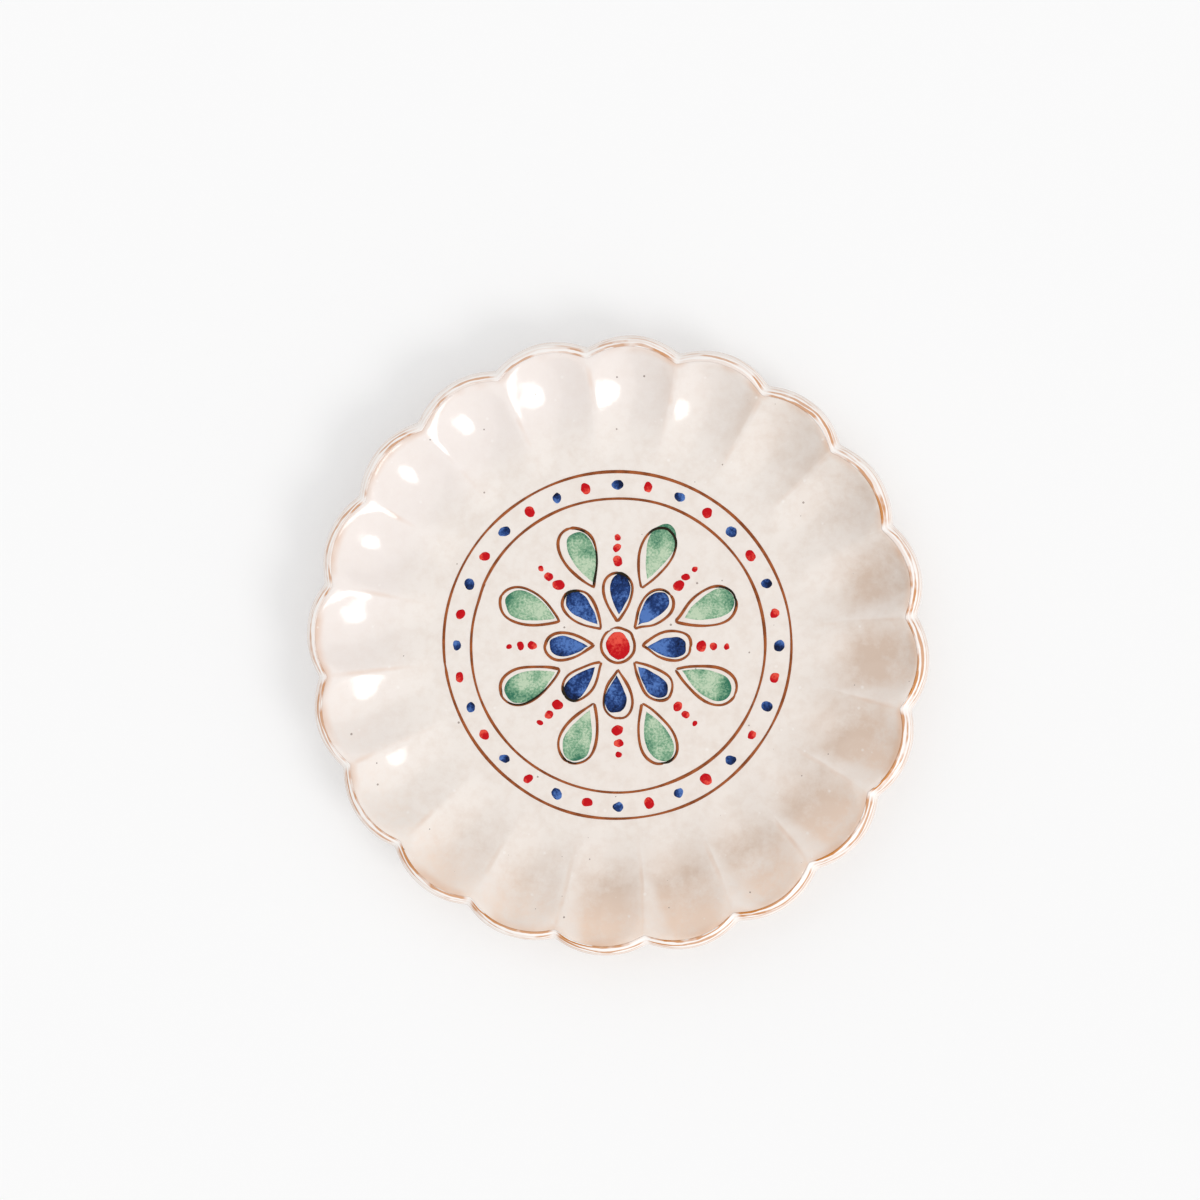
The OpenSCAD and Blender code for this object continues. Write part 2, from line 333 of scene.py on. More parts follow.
    # Iron specks, up to 0.8 mm across, in about one of six cells, and soft pale ones, up to 1.5 mm across,
    # in about one of three
    iron, healed = [
        add_node(
            tree, "ShaderNodeTexVoronoi", {"Vector": coords, "Scale": per_metre(cell)},
            voronoi_dimensions="2D"
        )
        for cell in (IRON_CELL, PALE_CELL)
    ]
    chance = add_node(tree, "ShaderNodeSeparateColor", (iron.outputs["Color"],)).outputs["Red"]
    iron_r = add_node(tree, "ShaderNodeMapRange", (chance, 0.83, 1.0, 0.0, IRON_R))
    iron_share = add_node(tree, "ShaderNodeMath", (iron.outputs["Distance"], iron_r), operation="LESS_THAN")
    iron_share = add_node(tree, "ShaderNodeMath", (iron_share, IRON_SHOWN), operation="MULTIPLY")
    chance = add_node(tree, "ShaderNodeSeparateColor", (healed.outputs["Color"],)).outputs["Green"]
    pale_r = add_node(tree, "ShaderNodeMapRange", (chance, 0.65, 1.0, 0.0, PALE_R))
    pale_share = add_node(tree, "ShaderNodeMath", (pale_r, healed.outputs["Distance"]), operation="SUBTRACT")
    pale_share = add_node(tree, "ShaderNodeMapRange", (pale_share, 0.0, PALE_SOFT, 0.0, PALE_SHOWN))

    tint = layered(
        tree, colours.cream,
        [
            (blush_and_shade, blush_and_shade_tint), (sheen_share, colours.painted_sheen), (thick_glaze_and_light_share, colours.pale),
            (warm_share, colours.warm), (iron_share, colours.speck), (pale_share, colours.pale),
        ]
    )
    relief = {}
    for span, strength, depth in GLAZE_RELIEF:
        swells = {"Vector": coords, "Scale": per_metre(span), "Detail": 1.0}
        height = add_node(tree, "ShaderNodeTexNoise", swells)
        bump = {"Height": height, "Strength": strength, "Distance": depth, **relief}
        relief = {"Normal": add_node(tree, "ShaderNodeBump", bump)}
    fill_inputs(tree, shader, {"Base Color": tint, "Roughness": 0.13, "IOR": 1.6, **relief})
    return material


# Lines on the lip: place and half width as shares of its width, and strength
LIP_LINES = ((0.03, 0.08, 1.0), (0.27, 0.08, 0.9), (0.5, 0.07, 0.5), (0.74, 0.07, 0.3))
LIP_WANDER = 0.08

# Share of a line's half width at which it starts to fade
LIP_CORE = 0.65

# Noise by which a line wanders, swells and thins, and breaks off and starts again: seed, span and detail
LIP_NOISE = ((0.0, 14 * MM, 2.0), (3.1, 6 * MM, 2.0), (7.3, 12 * MM, 3.0))

# Towards the clockwise end of a lobe the lines draw in to this share of their place, and show stronger
LIP_DRAW_IN = 0.8
LIP_FAINT = 0.85

# How much more of the lines breaks off on the side away from the lamp
LIP_AWAY_BREAKS = 0.09


def lip_material(colours):
    """Tin glaze on a knife-trimmed lip: it runs off the edges of each cut, where the terracotta shows in
    broken lines, and stays cream on the flats between them."""
    material, tree, shader, coords = new_material("thin_glaze_on_trimmed_lip")
    lip, ridge, flank = [
        add_node(tree, "ShaderNodeAttribute", attribute_name=name).outputs["Fac"]
        for name in ("lip", "ridge", "flank")
    ]
    to_lamp = add_node(tree, "ShaderNodeVectorMath", (coords, LAMP_SIDE), operation="DOT_PRODUCT")
    to_lamp = to_lamp.outputs["Value"]
    away_breaks = add_node(tree, "ShaderNodeMapRange", (to_lamp, -80 * MM, 40 * MM, LIP_AWAY_BREAKS, 0.0))
    draw_in = add_node(tree, "ShaderNodeMapRange", (flank, 0.0, 1.0, 1.0, LIP_DRAW_IN))
    shown = 0.0
    for number, (place, half_width, strength) in enumerate(LIP_LINES):
        stray, swell, breaks = [
            add_node(
                tree, "ShaderNodeTexNoise",
                {"Vector": coords, "W": number + seed, "Scale": per_metre(span), "Detail": detail},
                noise_dimensions="4D"
            )
            for seed, span, detail in LIP_NOISE
        ]
        inner, outer = place - LIP_WANDER, place + LIP_WANDER
        middle = add_node(tree, "ShaderNodeMapRange", (stray, 0.3, 0.7, inner, outer))
        middle = add_node(tree, "ShaderNodeMath", (middle, draw_in), operation="MULTIPLY")
        apart = add_node(tree, "ShaderNodeMath", (lip, middle), operation="SUBTRACT")
        apart = add_node(tree, "ShaderNodeMath", (apart,), operation="ABSOLUTE")
        width = add_node(tree, "ShaderNodeMapRange", (swell, 0.35, 0.65, 0.6, 1.4))
        apart = add_node(tree, "ShaderNodeMath", (apart, width), operation="DIVIDE")
        line = add_node(tree, "ShaderNodeMapRange", (apart, LIP_CORE * half_width, half_width, strength, 0.0))
        breaks = add_node(tree, "ShaderNodeMath", (breaks, away_breaks), operation="SUBTRACT")
        unbroken = add_node(tree, "ShaderNodeMapRange", (breaks, 0.38, 0.47, 0.25, 1.0))
        line = add_node(tree, "ShaderNodeMath", (line, unbroken), operation="MULTIPLY")
        shown = add_node(tree, "ShaderNodeMath", (line, shown), operation="MAXIMUM")
    # The lines of two lobes part at the notch between them, and are painted fainter on the side away from the
    # lamp,
    # where the lip lies in shade: painted shade
    lobe_share = add_node(tree, "ShaderNodeMapRange", (ridge, 0.86, 0.97, 1.0, 0.15))
    end_share = add_node(tree, "ShaderNodeMapRange", (flank, 0.0, 0.5, LIP_FAINT, 1.0))
    lamp_side_share = add_node(tree, "ShaderNodeMapRange", (to_lamp, -90 * MM, 60 * MM, 0.8, 1.0))
    for part in (lobe_share, end_share, lamp_side_share):
        shown = add_node(tree, "ShaderNodeMath", (shown, part), operation="MULTIPLY")
    haze = add_node(tree, "ShaderNodeMapRange", (lip, 0.35, 0.9, 0.0, 0.42))
    tint = layered(tree, colours.pale, [(haze, colours.tan), (shown, colours.clay_line)])
    grain = add_node(
        tree, "ShaderNodeTexNoise", {"Vector": coords, "Scale": per_metre(2.5 * MM), "Detail": 2.0}
    )
    bump = add_node(tree, "ShaderNodeBump", {"Height": grain, "Strength": 0.4, "Distance": 0.12 * MM})
    fill_inputs(tree, shader, {"Base Color": tint, "Normal": bump, "Roughness": 0.22, "IOR": 1.52})
    return material


def terracotta_material(colours):
    """Terracotta, pressed and fired bare: matt red-brown clay with darker handling marks and sandy grit."""
    material, tree, shader, coords = new_material("bare_terracotta")
    cloud, grit = [
        add_node(
            tree, "ShaderNodeTexNoise", {"Vector": coords, "Scale": per_metre(span), "Detail": detail}
        )
        for span, detail in ((12 * MM, 4.0), (0.9 * MM, 2.0))
    ]
    mixed = add_node(tree, "ShaderNodeMath", (cloud, grit), operation="MULTIPLY")
    tint = add_node(tree, "ShaderNodeValToRGB", (mixed,), [(0.14, colours.clay_dark), (0.34, colours.clay)])
    bump = add_node(tree, "ShaderNodeBump", {"Height": grit, "Strength": 0.6, "Distance": 0.15 * MM})
    fill_inputs(tree, shader, {"Base Color": tint, "Normal": bump, "Roughness": 0.88})
    return material


# Painted colour shines less than the glaze beside it
PAINT_GLOSS = 0.1

# How far the grain of the pigment and the flow of the brush change the amount of colour
GRAIN_SHARE = 0.26
FLOW_SHARE = 0.3


def paint_material(name, thin, full, pooled, grain_span):
    """Ceramic colour brushed on and fired into the glaze: watery where the brush ran dry, dark where the
    colour pooled, and grainy from the ground pigment. The attribute pool says where the brush left most."""
    material, tree, shader, coords = new_material(name)
    amount = add_node(tree, "ShaderNodeAttribute", attribute_name="pool").outputs["Fac"]
    grain = add_node(
        tree, "ShaderNodeTexNoise",
        {"Vector": coords, "Scale": per_metre(grain_span), "Detail": 3.0, "Roughness": 0.7}
    )
    flow = add_node(tree, "ShaderNodeTexNoise", {"Vector": coords, "Scale": per_metre(6 * MM), "Detail": 1.0})
    grain_share = add_node(tree, "ShaderNodeMapRange", (grain, 0.35, 0.65, -GRAIN_SHARE, GRAIN_SHARE))
    flow_share = add_node(tree, "ShaderNodeMapRange", (flow, 0.3, 0.7, -FLOW_SHARE, FLOW_SHARE))
    for part in (grain_share, flow_share):
        amount = add_node(tree, "ShaderNodeMath", (amount, part), operation="ADD")
    tint = add_node(tree, "ShaderNodeValToRGB", (amount,), [(0.1, thin), (0.5, full), (0.95, pooled)])
    fill_inputs(tree, shader, {"Base Color": tint, "Roughness": 0.25, "Specular IOR Level": PAINT_GLOSS})
    return material


def line_material(colours):
    """Iron-oxide line, drawn with a fine brush and fired: red-brown, darker where the paint lies thick, and
    almost black where it crosses a wash. The attribute over_wash says where it does."""
    material, tree, shader, coords = new_material("iron_brown_line")
    over = add_node(tree, "ShaderNodeAttribute", attribute_name="over_wash").outputs["Fac"]
    load = add_node(tree, "ShaderNodeTexNoise", {"Vector": coords, "Scale": per_metre(3 * MM), "Detail": 3.0})
    line = add_node(tree, "ShaderNodeValToRGB", (load,), [(0.35, colours.brown_dark), (0.6, colours.brown)])
    tint = layered(tree, line, [(over, colours.line_dark)])
    fill_inputs(tree, shader, {"Base Color": tint, "Roughness": 0.3, "Specular IOR Level": PAINT_GLOSS})
    return material


# Softness of the ridges at the floor and at the rim, as shares of half a lobe, and how soon the first fades
RIDGE_SOFT_FLOOR = 0.42
RIDGE_SOFT_RIM = 0.14
RIDGE_SOFT_FADE = 3

# Softness of a flute's bottom, as a share of half a lobe
BOTTOM_SOFT = 0.15

# Share of a ridge's rise that comes in a kick at the lip, and how late the kick turns up
RIDGE_KICK = 0.15
RIDGE_KICK_TURN = 5

# Softness of a notch in the rim, and how far the lip sinks as it nears the notch, as a slope
NOTCH_SOFT = 0.3 * MM
NOTCH_DIP = 0.22

# Each flute ends in a round: beside a notch it leaves a flat that widens from a share of the wall to the rim
FLAT_FROM = 0.66
FLAT_WIDTH = 0.42
FLAT_TURN = 1.5
FLAT_SOFT = 0.05

# How closely the wall near the lip follows the lip's inner edge where it lies off the centre
EDGE_FOLLOW = 6

# Where the face starts to roll over into the lip, and how far it rolls
ROLL_START = 0.955
ROLL_SHARE = 0.75

# Trimmed lip: shares of its width at which two cuts meet, and how far out, as a share of the crown
CUT_PLACES = (0.0, 0.2, 0.46, 0.76, 1.0)
CUT_HEIGHTS = (0.0, 0.66, 1.0, 0.7, 0.0)

# Shares of the lip's width at which its mesh has points: on both sides of each meeting, and between them
LIP_SHARES = np.array([0.0, 0.03, 0.1, 0.17, 0.23, 0.34, 0.43, 0.49, 0.62, 0.73, 0.79, 0.9, 0.97, 1.0])


class PlateForm:
    """Shape of the plate as radius and height: across is -1 and 1 at the notches beside a lobe."""

    def __init__(self, sizes):
        self.sizes = sizes
        self.half_turn = math.pi / sizes.lobe_count
        self.tip_r = sizes.plate_d / 2
        self.notch_r = self.tip_r - sizes.lobe_depth
        chord = self.tip_r - self.notch_r * math.cos(self.half_turn)
        self.lobe_centre_r = (self.tip_r ** 2 - self.notch_r ** 2) / (2 * chord)
        self.floor_r = self.tip_r - sizes.wall_run
        self.along_wall = (math.cos(sizes.rim_slope), math.sin(sizes.rim_slope))
        lip_reach = sizes.wall_t * self.along_wall[1] + sizes.lip_glaze_t * self.along_wall[0]
        self.edge_r = self.tip_r - lip_reach
        self.edge_z = sizes.plate_h - sizes.lip_glaze_t * self.along_wall[1]

    def rim_inset(self, across):
        """How far the rim lies inside the circle of the lobe tips."""
        turn = across * self.half_turn
        lobe_r = self.tip_r - self.lobe_centre_r
        reach = np.sqrt(lobe_r ** 2 - (self.lobe_centre_r * np.sin(turn)) ** 2)
        rim = self.lobe_centre_r * np.cos(turn) + reach
        return self.tip_r - self.notch_r - np.hypot(rim - self.notch_r, NOTCH_SOFT)

    def rise(self, along, across):
        """Height of the wall as a share of its rise: ridges climb from the floor, flutes turn up later."""
        sizes = self.sizes
        bottom = (np.maximum(0, along - sizes.flute_level) / (1 - sizes.flute_level)) ** sizes.flute_turn
        ridge = (1 - RIDGE_KICK) * along ** sizes.ridge_turn + RIDGE_KICK * along ** RIDGE_KICK_TURN
        softness = RIDGE_SOFT_RIM + (RIDGE_SOFT_FLOOR - RIDGE_SOFT_RIM) * (1 - along) ** RIDGE_SOFT_FADE
        from_ridge = np.hypot(1 - np.abs(across), softness) / np.hypot(1, softness)
        flat = FLAT_WIDTH * np.clip((along - FLAT_FROM) / (1 - FLAT_FROM), 0, 1) ** FLAT_TURN
        inside_flat = 1 - (1 - from_ridge) / (1 - flat)
        side = np.maximum(0, 1 - (inside_flat + np.hypot(inside_flat, FLAT_SOFT)) / 2)
        power = sizes.flute_sides / 2
        low = BOTTOM_SOFT ** (2 * power)
        lift = ((side ** 2 + BOTTOM_SOFT ** 2) ** power - low) / ((1 + BOTTOM_SOFT ** 2) ** power - low)
        return bottom + (ridge - bottom) * lift

    def wall(self, along, across, depth=0.0, rolled=True):
        """Point of the wall at a depth under its face, from the floor's edge at along 0 to the lip at 1."""
        rise = self.rise(along, across)
        if rolled:
            past = np.clip((along - ROLL_START) / (1 - ROLL_START), 0, 1)
            drop = ROLL_SHARE * (1 - ROLL_START)
            rise = (rise - drop * past ** 2) / (1 - drop)
        lean = self.sizes.rim_slope * along ** 2
        follow = along ** EDGE_FOLLOW * (1 - depth / self.sizes.wall_t) * np.ones_like(across)
        radius = self.floor_r + along * (self.edge_r - self.rim_inset(across) - self.floor_r)
        edge_z = self.edge_z - NOTCH_DIP * self.rim_inset(across)
        height = self.sizes.floor_z + rise * (edge_z - self.sizes.floor_z)
        return radius + depth * np.sin(lean), height - depth * np.cos(lean), follow

    def lip(self, place, across, coat=0.0):
        """Point of the lip, from the face at place 0 to the back at 1."""
        radius, height, follow = self.wall(np.ones_like(place), across)
        depth = place * self.sizes.wall_t
        stand = self.sizes.lip_crown * np.interp(place, CUT_PLACES, CUT_HEIGHTS) + coat
        cosine, sine = self.along_wall
        radius = radius + depth * sine + stand * cosine
        height = height - depth * cosine + stand * sine
        return radius, height, follow * (1 - place)


def joined(*parts):
    """One section from stretches of points, each with its radius, height and follow for all across values."""
    rows = max(part[0].shape[0] for part in parts)
    widths = [part[0].shape[1] for part in parts]
    return [
        np.hstack([np.broadcast_to(part[k], (rows, width)) for part, width in zip(parts, widths)])
        for k in (0, 1, 2)
    ]


def level_stretch(radii, height):
    return radii, np.full_like(radii, height), np.zeros_like(radii)


def flipped(part):
    return [values[:, ::-1] for values in part]


def mesh_object(name, points, faces, attributes=None):
    """Object at the origin with a mesh of these points and faces, and a number at each point by name."""
    mesh = bpy.data.meshes.new(name)
    mesh.from_pydata([tuple(p) for p in points], [], faces)
    for key, values in (attributes or {}).items():
        mesh.attributes.new(key, "FLOAT", "POINT").data.foreach_set("value", np.asarray(values, np.float32))
    mesh.validate()
    mesh.update()
    made = bpy.data.objects.new(name, mesh)
    bpy.context.scene.collection.objects.link(made)
    return made


def quads(rows, columns, closed=True, start=0):
    """Faces between rows of points that follow each other from a start. A closed row is a loop."""
    faces = []
    for j in range(rows - 1):
        here = start + j * columns
        for i in range(columns if closed else columns - 1):
            k = (i + 1) % columns
            faces.append((here + i, here + k, here + columns + k, here + columns + i))
    return faces


def lobe_sector(name, form, across, section, centre=None, **attributes):
    """One lobe of a shell: the section is a loop, or starts and ends at centre heights (top, bottom)."""
    radius, height, attributes["follow"] = section
    rows, columns = radius.shape
    turn = across * form.half_turn
    points = np.stack([radius * np.cos(turn), radius * np.sin(turn), height], axis=-1).reshape(-1, 3)
    values = {key: np.broadcast_to(v, radius.shape).reshape(-1) for key, v in attributes.items()}
    faces = quads(rows, columns, closed=centre is None)
    if centre:
        top = len(points)
        points = np.vstack([points, [(0, 0, centre[0]), (0, 0, centre[1])]])
        values = {key: np.append(v, (0.0, 0.0)) for key, v in values.items()}
        for j in range(rows - 1):
            faces.append((top, j * columns, (j + 1) * columns))
            faces.append((top + 1, (j + 2) * columns - 1, (j + 1) * columns - 1))
    return mesh_object(name, points, faces, values)


# Lobes closer than this at their seams are merged
SEAM = 0.004 * MM

# Factor that leaves the level part of a vector, and the middle of a noise's colour
LEVEL = (1.0, 1.0, 0.0)
MID_NOISE = (0.5, 0.5, 0.5)


def group_tree(name, sockets):
    """Geometry node tree with named inputs and one geometry output: the tree and its inputs' sockets."""
    tree = bpy.data.node_groups.new(name, "GeometryNodeTree")
    for label, kind in sockets.items():
        tree.interface.new_socket(name=label, in_out="INPUT", socket_type="NodeSocket" + kind)
    tree.interface.new_socket(name="Geometry", in_out="OUTPUT", socket_type="NodeSocketGeometry")
    return tree, add_node(tree, "NodeGroupInput").outputs


def hand_stray(tree, place, seed, span):
    """Smooth random direction and share by which each place strays, changing over a span."""
    scale = add_node(tree, "ShaderNodeMath", (1.0, span), operation="DIVIDE")
    noise = add_node(
        tree, "ShaderNodeTexNoise", {"Vector": place, "W": seed, "Scale": scale, "Detail": 1.0},
        noise_dimensions="4D"
    )
    return add_node(tree, "ShaderNodeVectorMath", (noise.outputs["Color"], MID_NOISE), operation="SUBTRACT")


def turned_copies(tree, points, instance, turn, scale=(1.0, 1.0, 1.0)):
    """A real copy of a shape on each point, turned about the upright axis and scaled."""
    euler = add_node(tree, "ShaderNodeCombineXYZ", {"Z": turn})
    rotation = add_node(tree, "FunctionNodeEulerToRotation", (euler,))
    copies = add_node(
        tree, "GeometryNodeInstanceOnPoints",
        {"Points": points, "Instance": instance, "Rotation": rotation, "Scale": scale}
    )
    return add_node(tree, "GeometryNodeRealizeInstances", {"Geometry": copies})


def end_tree(tree, geometry, offset, material):
    """Ends a tree: moves the points by an offset, smooths the faces and sets their material."""
    moved = add_node(tree, "GeometryNodeSetPosition", {"Geometry": geometry, "Offset": offset})
    smooth = add_node(tree, "GeometryNodeSetShadeSmooth", {"Geometry": moved})
    finished = add_node(tree, "GeometryNodeSetMaterial", {"Geometry": smooth, "Material": material})
    add_node(tree, "NodeGroupOutput", (finished,))
    return tree


def scalloped_shell_tree():
    """Turns one lobe round the axis, closes the seams and gives the rim the stray of a hand-pressed one."""
    tree, given = group_tree(
        "Scalloped shell",
        {
            "Lobe": "Geometry", "Lobes": "Int", "First Lobe": "Float", "Steady Radius": "Float",
            "Rim Radius": "Float", "Wobble": "Float", "Wobble Span": "Float", "Seed": "Float",
            "Edge Drift": "Vector", "Material": "Material",
        }
    )
    points = add_node(tree, "GeometryNodePoints", {"Count": given["Lobes"]})
    index = add_node(tree, "GeometryNodeInputIndex")
    step = add_node(tree, "ShaderNodeMath", (2 * math.pi, given["Lobes"]), operation="DIVIDE")
    turn = add_node(tree, "ShaderNodeMath", (index, step, given["First Lobe"]), operation="MULTIPLY_ADD")
    lobes = turned_copies(tree, points, given["Lobe"], turn)
    closed = add_node(tree, "GeometryNodeMergeByDistance", {"Geometry": lobes, "Distance": SEAM})
    position = add_node(tree, "GeometryNodeInputPosition")
    level = add_node(tree, "ShaderNodeVectorMath", (position, LEVEL), operation="MULTIPLY")
    stray = hand_stray(tree, level, given["Seed"], given["Wobble Span"])
    radius = add_node(tree, "ShaderNodeVectorMath", (level,), operation="LENGTH").outputs["Value"]
    amount = add_node(
        tree, "ShaderNodeMapRange",
        (radius, given["Steady Radius"], given["Rim Radius"], 0.0, given["Wobble"]), **SMOOTH
    )
    wobble = add_node(tree, "ShaderNodeVectorMath", {0: stray, "Scale": amount}, operation="SCALE")
    follow = add_node(tree, "GeometryNodeInputNamedAttribute", {"Name": "follow"}, data_type="FLOAT")
    drift = add_node(
        tree, "ShaderNodeVectorMath", {0: given["Edge Drift"], "Scale": follow}, operation="SCALE"
    )
    offset = add_node(tree, "ShaderNodeVectorMath", (wobble, drift), operation="ADD")
    return end_tree(tree, closed, offset, given["Material"])


# Drop of enamel: steps of its mesh, its length and width as shares of its size, and the colour at its ends
ENAMEL_SEGMENTS = 28
ENAMEL_RINGS = 10
ENAMEL_LONG = 1.1
ENAMEL_WIDE = 0.92
ENAMEL_THIN = 0.1
ENAMEL_POOLED = 0.95


def enamel_dots_tree():
    """Lays a drop of enamel on each point, turned and sized by its own numbers, with an uneven outline."""
    tree, given = group_tree(
        "Enamel dots",
        {
            "Points": "Geometry", "Height": "Float", "Unevenness": "Float", "Uneven Span": "Float",
            "Seed": "Float", "Material": "Material",
        }
    )
    drop = add_node(tree, "GeometryNodeMeshUVSphere", (ENAMEL_SEGMENTS, ENAMEL_RINGS, 1.0))
    position = add_node(tree, "GeometryNodeInputPosition")
    along = add_node(tree, "ShaderNodeSeparateXYZ", (position,))
    pool = add_node(tree, "ShaderNodeMapRange", (along, -1.0, 1.0, ENAMEL_THIN, ENAMEL_POOLED))
    loaded = add_node(
        tree, "GeometryNodeStoreNamedAttribute", {"Geometry": drop, "Name": "pool", "Value": pool},
        data_type="FLOAT", domain="POINT"
    )
    size, turn = [
        add_node(tree, "GeometryNodeInputNamedAttribute", {"Name": name}, data_type="FLOAT")
        for name in ("dot_size", "dot_turn")
    ]
    long_r, wide_r = [
        add_node(tree, "ShaderNodeMath", (size, grow), operation="MULTIPLY")
        for grow in (ENAMEL_LONG, ENAMEL_WIDE)
    ]
    scale = add_node(tree, "ShaderNodeCombineXYZ", (long_r, wide_r, given["Height"]))
    drops = turned_copies(tree, given["Points"], loaded, turn, scale)
    stray = hand_stray(tree, position, given["Seed"], given["Uneven Span"])
    level = add_node(tree, "ShaderNodeVectorMath", (stray, LEVEL), operation="MULTIPLY")
    offset = add_node(
        tree, "ShaderNodeVectorMath", {0: level, "Scale": given["Unevenness"]}, operation="SCALE"
    )
    return end_tree(tree, drops, offset, given["Material"])


def tree_named(name, make):
    return bpy.data.node_groups.get(name) or make()


def shaped(piece, tree, **inputs):
    """Runs a geometry node tree on the piece and keeps the result as its plain mesh."""
    modifier = piece.modifiers.new(tree.name, "NODES")
    modifier.node_group = tree
    sockets = {s.name: s.identifier for s in tree.interface.items_tree if s.in_out == "INPUT"}
    for name, value in inputs.items():
        modifier[sockets[name.replace("_", " ").title()]] = value
    piece.update_tag()
    graph = bpy.context.evaluated_depsgraph_get()
    mesh = bpy.data.meshes.new_from_object(piece.evaluated_get(graph))
    piece.modifiers.remove(modifier)
    piece.data = mesh
    mesh.name = piece.name
    return piece


WOBBLE_SEED = 3.0


def shell_piece(form, sector, material):
    """A sector repeated round the plate, with its stray, as a finished piece."""
    sizes = form.sizes
    return shaped(
        sector, tree_named("Scalloped shell", scalloped_shell_tree),
        lobes=sizes.lobe_count, first_lobe=sizes.notch_angle + form.half_turn,
        steady_radius=form.floor_r, rim_radius=form.tip_r, wobble=sizes.hand_wobble,
        wobble_span=sizes.wobble_span, seed=WOBBLE_SEED, edge_drift=sizes.edge_drift, material=material,
    )


def placed(piece, node):
    """The piece stands for a CAD node, whose part it hides, and moves with the plate."""
    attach(piece, "root")
    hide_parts(node)
    return piece


# Steps of the meshes
ACROSS_STEPS = 24
CLAY_ACROSS_STEPS = 12
WALL_STEPS = 46
BACK_STEPS = 24
UNDER_STEPS = 10
FLOOR_RINGS = 12
TURN_STEPS = 240
EDGE_POINTS = 7
WASH_RINGS = 7


def lathed(name, profile, material):
    """Closed solid turned round the axis from a loop of (radius, height), clockwise; radius 0 is a pole."""
    points = []
    starts = []
    for radius, height in profile:
        starts.append(len(points))
        around = 1 if radius == 0 else TURN_STEPS
        for k in range(around):
            turn = 2 * math.pi * k / TURN_STEPS
            points.append((radius * math.cos(turn), radius * math.sin(turn), height))
    faces = []
    for i, start in enumerate(starts):
        end = starts[(i + 1) % len(starts)]
        here_pole = profile[i][0] == 0
        next_pole = profile[(i + 1) % len(profile)][0] == 0
        if here_pole and next_pole:
            continue
        for k in range(TURN_STEPS):
            n = (k + 1) % TURN_STEPS
            if here_pole:
                faces.append((start, end + k, end + n))
            elif next_pole:
                faces.append((start + k, end, start + n))
            else:
                faces.append((start + k, end + k, end + n, start + n))
    piece = mesh_object(name, points, faces)
    piece.data.materials.append(material)
    piece.data.shade_smooth()
    return piece


def across_values(steps):
    return np.linspace(-1.0, 1.0, steps + 1)[:, None]


def along_values(steps):
    """Shares of the wall from the floor to just before the lip."""
    return np.linspace(0.0, 1.0, steps + 1)[None, :-1]


def lobe_places(across):
    """Where a point lies in its lobe: 1 on the ridges, and 1 only at the clockwise end."""
    return {"ridge": np.abs(across), "flank": np.maximum(0.0, -across)}


# Foot ring: a slight waist under the glaze line, and its height as a share of the foot's
FOOT_WAIST = 0.3 * MM
WAIST_HEIGHT = 0.7


class PLATE_OT_clay(bpy.types.Operator):
    """Build the pressed terracotta body and the foot ring under it"""

    bl_idname = "plate.clay"
    bl_label = "Clay"

    def execute(self, context):
        sizes = context.scene.plate_sizes
        form = PlateForm(sizes)
        material = terracotta_material(context.scene.plate_colours)
        across = across_values(CLAY_ACROSS_STEPS)
        along = along_values(UNDER_STEPS)
        coat = sizes.glaze_t / sizes.wall_t
        inner = LIP_SHARES[(LIP_SHARES > coat) & (LIP_SHARES < 1 - coat)]
        shares = np.hstack([coat, inner, 1 - coat])[None, :]
        section = joined(
            form.wall(along, across, sizes.glaze_t),
            form.lip(shares, across),
            flipped(form.wall(along, across, sizes.wall_t - sizes.glaze_t, rolled=False)),
        )
        heights = (sizes.floor_z - sizes.glaze_t, sizes.floor_z - sizes.wall_t + sizes.glaze_t)
        sector = lobe_sector("clay_body", form, across, section, heights)
        placed(shell_piece(form, sector, material), "clay_body")

        worn = sizes.foot_edge_r
        top = sizes.foot_h + sizes.glaze_t
        bore_r = sizes.foot_r - sizes.foot_w
        waist_z = WAIST_HEIGHT * sizes.foot_h
        turns = np.linspace(0.0, math.pi / 2, EDGE_POINTS)
        outer = [(sizes.foot_r - worn + worn * math.cos(t), worn - worn * math.sin(t)) for t in turns]
        inner = [(bore_r + worn - worn * math.sin(t), worn - worn * math.cos(t)) for t in turns]
        profile = [(bore_r, top), (sizes.foot_r, top), (sizes.foot_r - FOOT_WAIST, waist_z)]
        profile += outer + inner + [(bore_r + FOOT_WAIST, waist_z)]
        placed(lathed("foot_ring", profile, material), "foot_ring")
        return {"FINISHED"}


# The base's glaze creeps a little down the inside of the foot ring: how far, and its curve in shares of that,
# as (from the ring, under the base)
GLAZE_CREEP = 0.8 * MM
CREEP_CURVE = ((0.0, 1.0), (0.3, 0.45), (1.0, 0.12), (2.5, 0.0))


